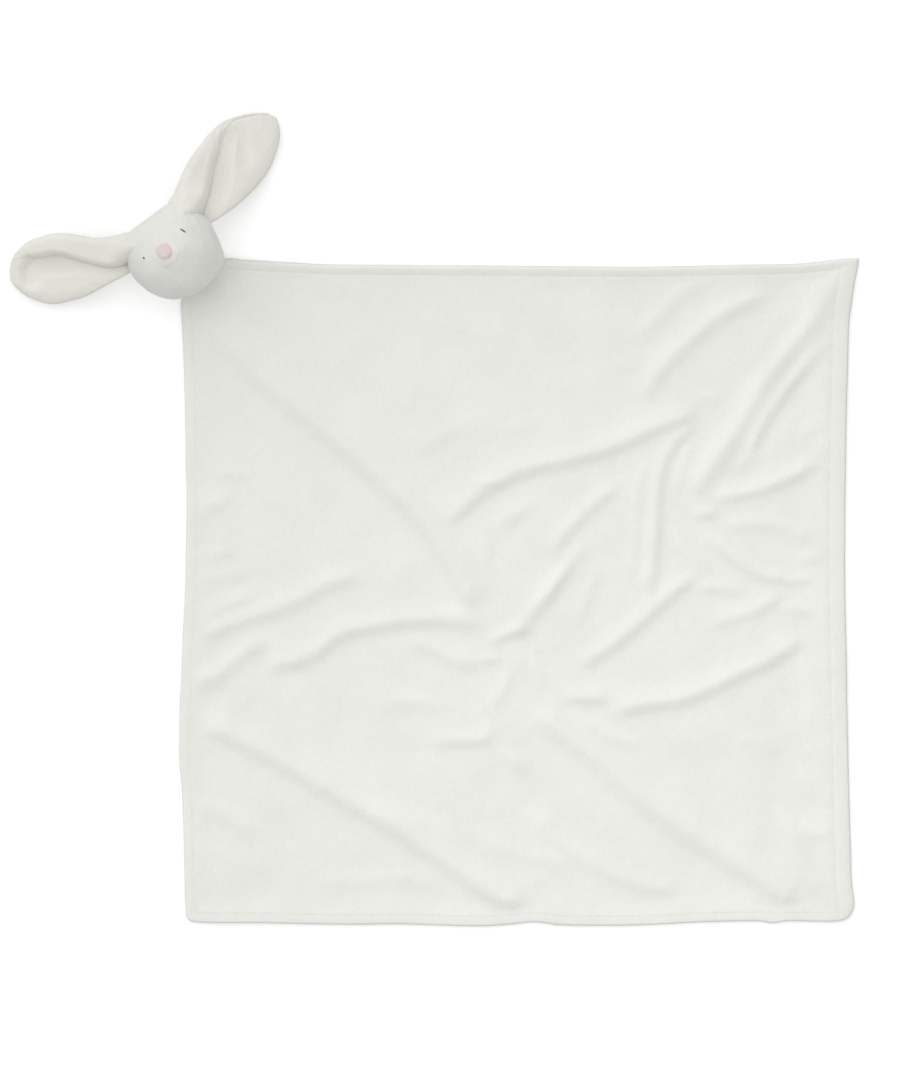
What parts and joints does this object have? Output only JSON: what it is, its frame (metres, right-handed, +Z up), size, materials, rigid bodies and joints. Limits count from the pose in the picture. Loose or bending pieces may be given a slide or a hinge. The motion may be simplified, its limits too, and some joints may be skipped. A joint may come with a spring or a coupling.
{
  "type": "comfort blanket lovey",
  "caption": "Square double-layer plush comfort blanket with a stuffed rabbit head sewn to its corner; the head bends at the neck and the long ears flop.",
  "frame": {"origin": "centre of the blanket's underside, on the plane that it lies on", "axes": "+Z up from the blanket's underside to the face, +Y towards the edge whose left end carries the head, +X to the right as seen from above"},
  "size_m": [0.7143, 0.6885, 0.0802],
  "materials": {
    "white_plush": "soft short-pile white plush, faintly cream",
    "lining_plush": "soft short-pile white plush, the same cloth as the ears' backs",
    "fibre_filling": "loose white polyester fibre",
    "white_thread": "matt white sewing thread",
    "pink_thread": "pale pink satin-stitched thread",
    "eye_plastic": "polished black",
    "washer_plastic": "moulded white"
  },
  "bodies": {
    "blanket": {"blanket_front_panel": "white_plush", "blanket_back_panel": "white_plush", "blanket_turned_hem": "white_plush", "blanket_edge_seam_thread": "white_thread", "blanket_topstitch_thread": "white_thread"},
    "head": {"neck_gather": "white_plush", "head_face_panel": "white_plush", "head_chin_panel": "white_plush", "head_back_panel": "white_plush", "head_left_side_panel": "white_plush", "head_right_side_panel": "white_plush", "head_fibre_filling": "fibre_filling", "eye_left": "eye_plastic", "eye_right": "eye_plastic", "eye_washer_left": "washer_plastic", "eye_washer_right": "washer_plastic", "nose": "pink_thread", "mouth_thread": "pink_thread"},
    "ear_left": {"ear_left_back": "white_plush", "ear_left_lining": "lining_plush", "ear_left_root_seam": "white_plush"},
    "ear_right": {"ear_right_back": "white_plush", "ear_right_lining": "lining_plush", "ear_right_root_seam": "white_plush"}
  },
  "joints": [
    {"name": "neck_bend", "type": "hinge", "parent": "blanket", "child": "head", "pos_m": [-0.26943, 0.26683, 0.0033], "axis": [0.7071, 0.7071, 0], "range_deg": [-85, 40]},
    {"name": "ear_left_flop", "type": "hinge", "parent": "head", "child": "ear_left", "pos_m": [-0.32936, 0.28455, 0.03], "axis": [-0.134, 0.991, 0], "range_deg": [-70, 80]},
    {"name": "ear_right_flop", "type": "hinge", "parent": "head", "child": "ear_right", "pos_m": [-0.27059, 0.32586, 0.03], "axis": [0.7694, -0.6388, 0], "range_deg": [-70, 80]}
  ]
}
